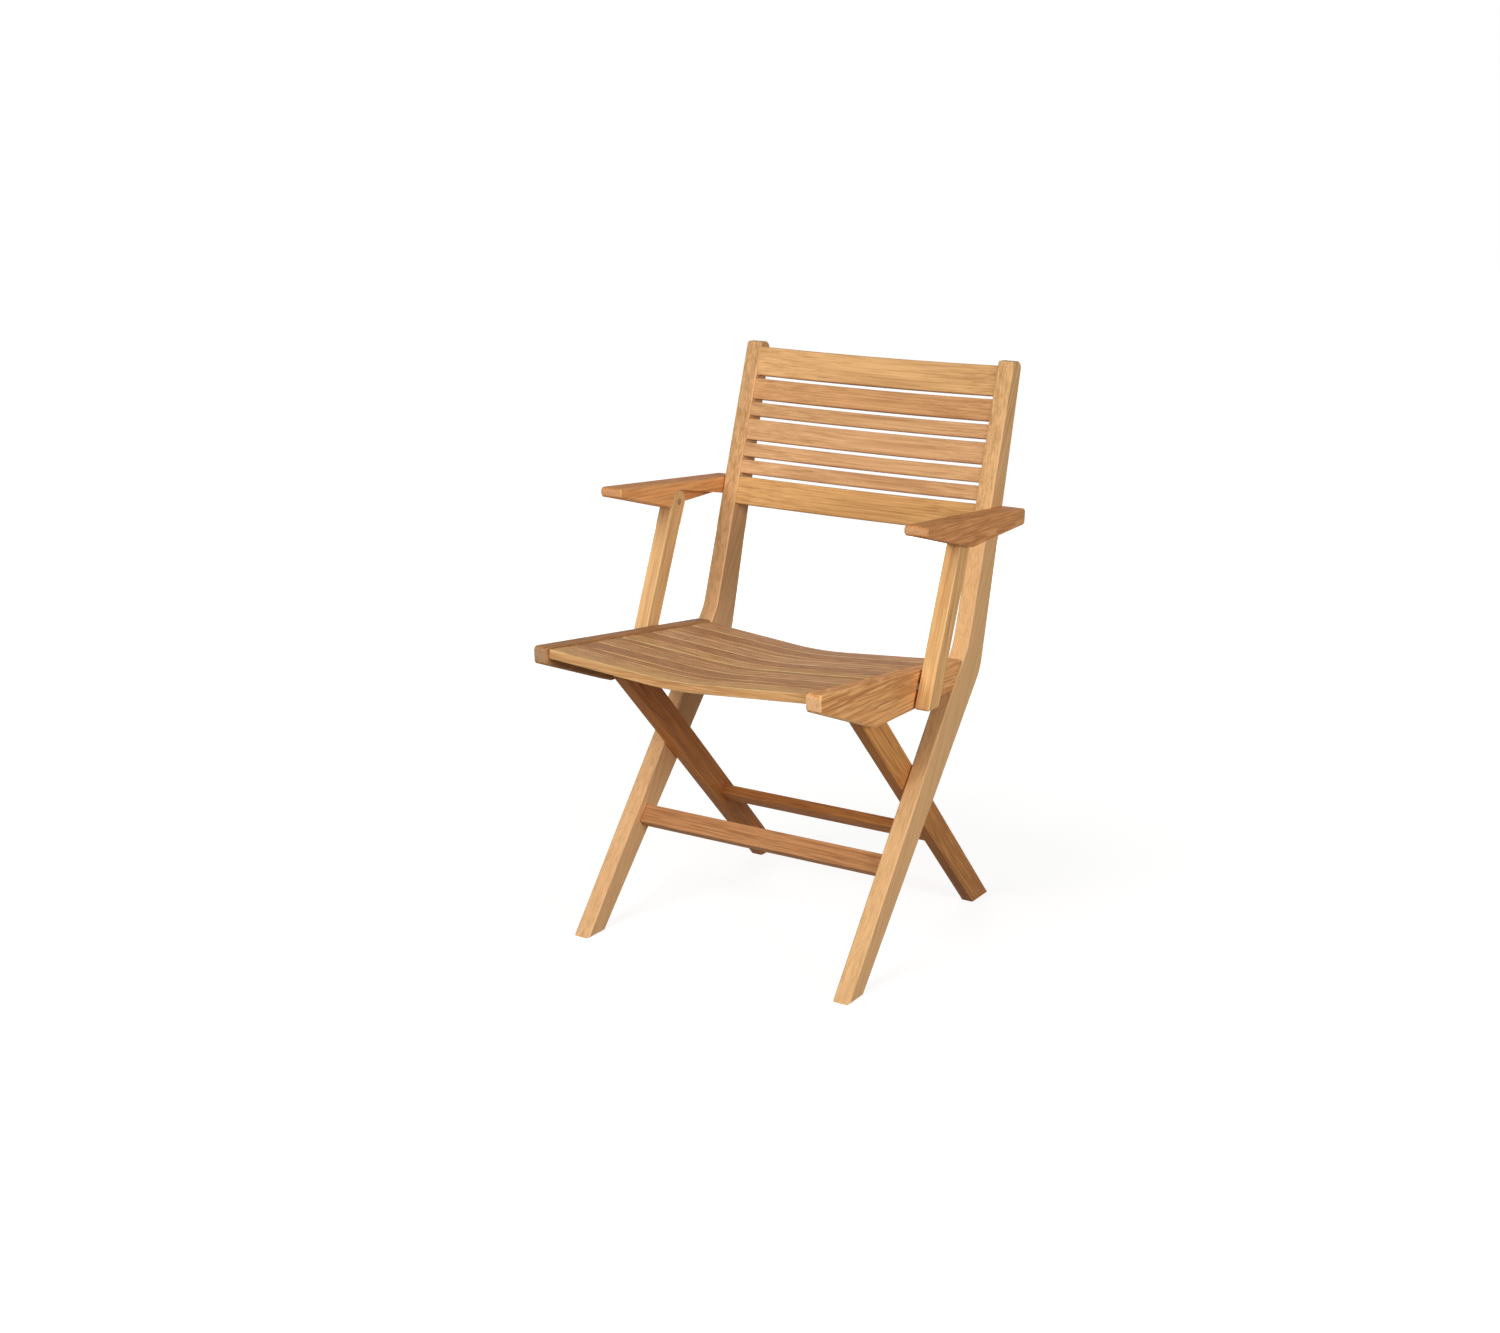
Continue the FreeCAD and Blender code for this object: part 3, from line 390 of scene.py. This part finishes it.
def paint_arris_wear_and_sheen(shader, colour, square, log, pale, wear_and_sheen):
    """Arrises paler in patches, partly from wear and partly as a painted highlight, and brighter still
    where the share is over 1, where it is painted highlight alone.
    """
    edge = shader.math("MULTIPLY", square, shader.math("SUBTRACT", 1.0, square))
    edge = shader.math("MULTIPLY", shader.spread(edge, *ARRIS_RANGE), min(wear_and_sheen, 1.0))
    arris_patches = shader.pattern(log, ARRIS_PATCH_CELLS, ARRIS_PATCH_RANGE)
    # Over 1 the arris colour is lifted past the pale wood: a painted highlight
    glow = max(wear_and_sheen, 1.0)
    bare_and_sheen = capped(tint(pale, (glow, glow, glow)), (BRIGHTEST_BARE_AND_SHEEN, BRIGHTEST_BARE_AND_SHEEN, BRIGHTEST_BARE_AND_SHEEN))
    return shader.blend(shader.math("MULTIPLY", edge, arris_patches), colour, shade(bare_and_sheen))


def paint_shade_on_narrow_faces(shader, colour, square, dark, narrow_face_painted_shade):
    """Painted shade: the narrow faces made darker by a share, standing in for the light they lack."""
    narrow = shader.math("MULTIPLY", shader.math("SUBTRACT", 1.0, square), narrow_face_painted_shade)
    return shader.blend(narrow, colour, shade(dark))


def teak(name, seed, along, flat, tone, veins, flecks, tone_and_painted_light_ramp, wear_and_sheen, narrow_face_painted_shade):
    """Oiled teak, cut from its own place in the log, with arrises pale partly from wear and partly from a
    painted highlight, and paler end grain.

    The grain runs along one direction and the board's broad faces look along another."""
    shader = Shader(bpy.data.materials.new(name))
    sockets = shader.add("TexCoord").outputs
    place = sockets["Object"]
    facing = sockets["Normal"]
    dark = tint(tone, DARK)
    pale = capped(tint(tone, PALE), PALEST)
    log = log_place(shader, place, seed, along)
    grain = wander(shader, log)
    streaks = shader.noise(grain, STREAK_CELLS, detail=3.0, roughness=0.6).outputs["Fac"]
    colour = grow(shader, log, grain, streaks, tone)
    # Paler or darker towards the foot: partly the wood's tone, partly painted light and painted shade
    if tone_and_painted_light_ramp:
        colour = ramp_tone_and_painted_light_down(shader, colour, place, dark, pale, tone_and_painted_light_ramp)
    colour, relief = mark(shader, colour, grain, dark, pale, veins, flecks)
    colour = show_ends(shader, colour, facing, log, along, tone)
    across = shader.dot(facing, flat)
    square = shader.math("MULTIPLY", across, across)
    # Arrises: partly wear, partly a painted highlight
    colour = paint_arris_wear_and_sheen(shader, colour, square, log, pale, wear_and_sheen)
    # Painted shade on the narrow faces, by the board's share
    if narrow_face_painted_shade:
        colour = paint_shade_on_narrow_faces(shader, colour, square, dark, narrow_face_painted_shade)

    low, high = STREAK_RANGE
    smoothest, roughest = WOOD_ROUGHNESS
    rough = shader.add("MapRange", {"Value": streaks, "From Min": low, "From Max": high,
                                    "To Min": smoothest, "To Max": roughest})
    bump = shader.add("Bump", {"Height": relief, **WOOD_RELIEF})
    surface = shader.add("BsdfPrincipled", {"Base Color": colour, "Specular IOR Level": WOOD_SPECULAR,
                                            "Roughness": rough.outputs[0], "Normal": bump.outputs[0]})
    return shader.finish("OutputMaterial", surface.outputs[0])


def metal(name, colour):
    """Metal brushed from side to side."""
    shader = Shader(bpy.data.materials.new(name))
    place = shader.add("TexCoord").outputs["Object"]
    lines = shader.noise(place, BRUSHED_CELLS).outputs["Fac"]
    wear_and_sheen = shader.noise(place, (1.0, 1.0), detail=3.0).outputs["Fac"]
    tone = shader.blend(lines, shade(colour, METAL_DEEP), shade(colour, METAL_BRIGHT))
    rough = shader.math("ADD", shader.math("MULTIPLY", lines, BRUSHED_ROUGHNESS), METAL_ROUGHNESS)
    rough = shader.math("ADD", rough, shader.math("MULTIPLY", wear_and_sheen, WORN_ROUGHNESS))
    bump = shader.add("Bump", {"Height": lines, **METAL_RELIEF})
    surface = shader.add("BsdfPrincipled", {"Base Color": tone, "Metallic": 1.0,
                                            "Roughness": rough, "Normal": bump.outputs[0]})
    return shader.finish("OutputMaterial", surface.outputs[0])


def paint(name, material):
    """Gives a CAD node its material."""
    mesh = nodes[name].data
    mesh.materials.clear()
    mesh.materials.append(material)


def soften(name):
    """Rounds a board's arrises without changing the CAD mesh itself."""
    piece = nodes[name]
    mesh = piece.data
    if "custom_normal" in mesh.attributes:
        mesh.attributes.remove(mesh.attributes["custom_normal"])
    mesh.shade_smooth()
    weld = piece.modifiers.new("weld", "WELD")
    weld.merge_threshold = MERGE_DISTANCE
    bevel = piece.modifiers.new("arrises", "BEVEL")
    bevel.width = ARRIS_ROUND
    bevel.segments = ARRIS_STEPS
    bevel.limit_method = "ANGLE"
    bevel.angle_limit = math.radians(ARRIS_ANGLE)
    bevel.harden_normals = True


def board(along, flat, tone, veins=0.15, flecks=0.25, tone_and_painted_light_ramp=None, wear_and_sheen=0.5, narrow_face_painted_shade=0.0):
    """Looks of a board: its grain, its face, its tone, and the shares of what varies it, painted shade on
    the narrow faces and painted highlight on the arrises among them.
    """
    return {"along": along, "flat": flat, "tone": tone, "veins": veins, "flecks": flecks,
            "tone_and_painted_light_ramp": tone_and_painted_light_ramp, "wear_and_sheen": wear_and_sheen, "narrow_face_painted_shade": narrow_face_painted_shade}


# Arris shares over 1, on the right seat rail and the seat slats, are a painted highlight
# A board's place in this list also picks its place in the log
BOARDS = {
    "left_post": board(ALONG_POST, SIDEWAYS, STRAW, veins=0.2, flecks=0.4, tone_and_painted_light_ramp=LEFT_POST_TONE_AND_PAINTED_LIGHT,
                       wear_and_sheen=0.8, narrow_face_painted_shade=0.06),
    "right_post": board(ALONG_POST, SIDEWAYS, HONEY, veins=0.18, flecks=0.4, tone_and_painted_light_ramp=RIGHT_POST_TONE_AND_PAINTED_LIGHT,
                        wear_and_sheen=0.8),
    "left_rear_leg": board(ALONG_LEG, SIDEWAYS, CHESTNUT, veins=0.5, flecks=0.4, tone_and_painted_light_ramp=LEFT_LEG_PAINTED_SHADE,
                           narrow_face_painted_shade=0.15),
    "right_rear_leg": board(ALONG_LEG, SIDEWAYS, RUSSET, veins=0.45, flecks=0.4, tone_and_painted_light_ramp=RIGHT_LEG_PAINTED_SHADE,
                            narrow_face_painted_shade=0.6),
    "front_stretcher": board(ACROSS, FRONT_STRETCHER_FACE, SALMON, veins=0.45, flecks=0.5),
    "rear_stretcher": board(ACROSS, REAR_STRETCHER_FACE, WALNUT, veins=0.5, flecks=0.2),
    "left_seat_rail": board(ALONG_RAIL, SIDEWAYS, UMBER, veins=0.35, flecks=0.4),
    "right_seat_rail": board(ALONG_RAIL, SIDEWAYS, AMBER, veins=0.4, flecks=1.0, wear_and_sheen=1.2),
    "left_arm_support": board(ALONG_SUPPORT, SIDEWAYS, CREAM, veins=0.2, flecks=0.3, narrow_face_painted_shade=0.28),
    "right_arm_support": board(ALONG_SUPPORT, SIDEWAYS, GOLD, veins=0.25, flecks=0.3),
    "left_arm": board(ALONG_ARM, SIDEWAYS, APRICOT, veins=0.35, flecks=0.35, narrow_face_painted_shade=0.55),
    "right_arm": board(ALONG_ARM, SIDEWAYS, COPPER, veins=0.35, flecks=0.9),
    "left_support_plug": board(ACROSS, SIDEWAYS, NUT),
    "right_support_plug": board(ACROSS, SIDEWAYS, NUT),
}
SEAT_TONES = [BLOND, DUN, DUN, TAN, DUN, BLOND, DUN, SAND, TAN, DUN, SAND]
BACK_TONES = [GILT, SAND, PEACH, SAND, PEACH, PINK, BLOND]
for number, tone in enumerate(SEAT_TONES, start=1):
    BOARDS["seat_slat_%d" % number] = board(ACROSS, UPWARDS, tone, veins=0.5, flecks=0.75,
                                            wear_and_sheen=1.7, narrow_face_painted_shade=0.35)
for number, tone in enumerate(BACK_TONES, start=1):
    BOARDS["back_slat_%d" % number] = board(ACROSS, FORWARDS, tone)


def add_stage():
    """Plain pale floor that reaches far behind the chair."""
    mesh = bpy.data.meshes.new("floor")
    far = FLOOR_REACH
    corners = [(-far, -far, 0), (far, -far, 0), (far, far, 0), (-far, far, 0)]
    mesh.from_pydata(corners, [], [(0, 1, 2, 3)])
    floor = bpy.data.objects.new("floor", mesh)
    bpy.context.scene.collection.objects.link(floor)
    shader = Shader(bpy.data.materials.new("pale_floor"))
    seen = shader.backdrop_rays()
    lit = shader.add("BsdfDiffuse", {"Color": FLOOR_COLOUR})
    place = shader.add("TexCoord").outputs["Object"]
    reach = shader.add("VectorMath", {0: place}, operation="LENGTH").outputs["Value"]
    level = shader.add("MapRange", {"Value": reach, "From Min": FLOOR_NEAR, "From Max": FLOOR_FAR,
                                    "To Min": FLOOR_GLOW_NEAR, "To Max": FLOOR_GLOW_FAR})
    glow = shader.add("Emission", {"Strength": level.outputs[0]})
    both = shader.add("AddShader", {0: lit.outputs[0], 1: glow.outputs[0]})
    surface = shader.add("MixShader", {0: seen, 1: lit.outputs[0], 2: both.outputs[0]})
    mesh.materials.append(shader.finish("OutputMaterial", surface.outputs[0]))


def set_world():
    """White where the camera and reflections look, and dim where it lights the chair."""
    shader = Shader(bpy.data.worlds.new("studio"))
    level = shader.add("MapRange", {"Value": shader.backdrop_rays(), "To Min": WORLD_LIGHT, "To Max": 1.0})
    light = shader.add("Background", {"Color": WHITE, "Strength": level.outputs[0]})
    bpy.context.scene.world = shader.finish("OutputWorld", light.outputs[0])


add_camera()
add_stage()
set_world()
add_lamp("key", KEY_ANGLES, KEY_SIZE, KEY_POWER)
add_lamp("fill", FILL_ANGLES, FILL_SIZE, FILL_POWER)
back = add_lamp("back", BACK_ANGLES, BACK_SIZE, BACK_POWER)

# The lamp behind would put a mirror's sheen on the seat
back.visible_glossy = False

for seed, (name, looks) in enumerate(BOARDS.items()):
    soften(name)
    paint(name, teak("teak_" + name, seed, **looks))

steel = metal("steel", STEEL_COLOUR)
brass = metal("brass", BRASS_COLOUR)
for name in nodes:
    if name not in BOARDS:
        paint(name, brass if name.startswith("hinge") else steel)

bpy.context.scene.view_settings.view_transform = "Standard"
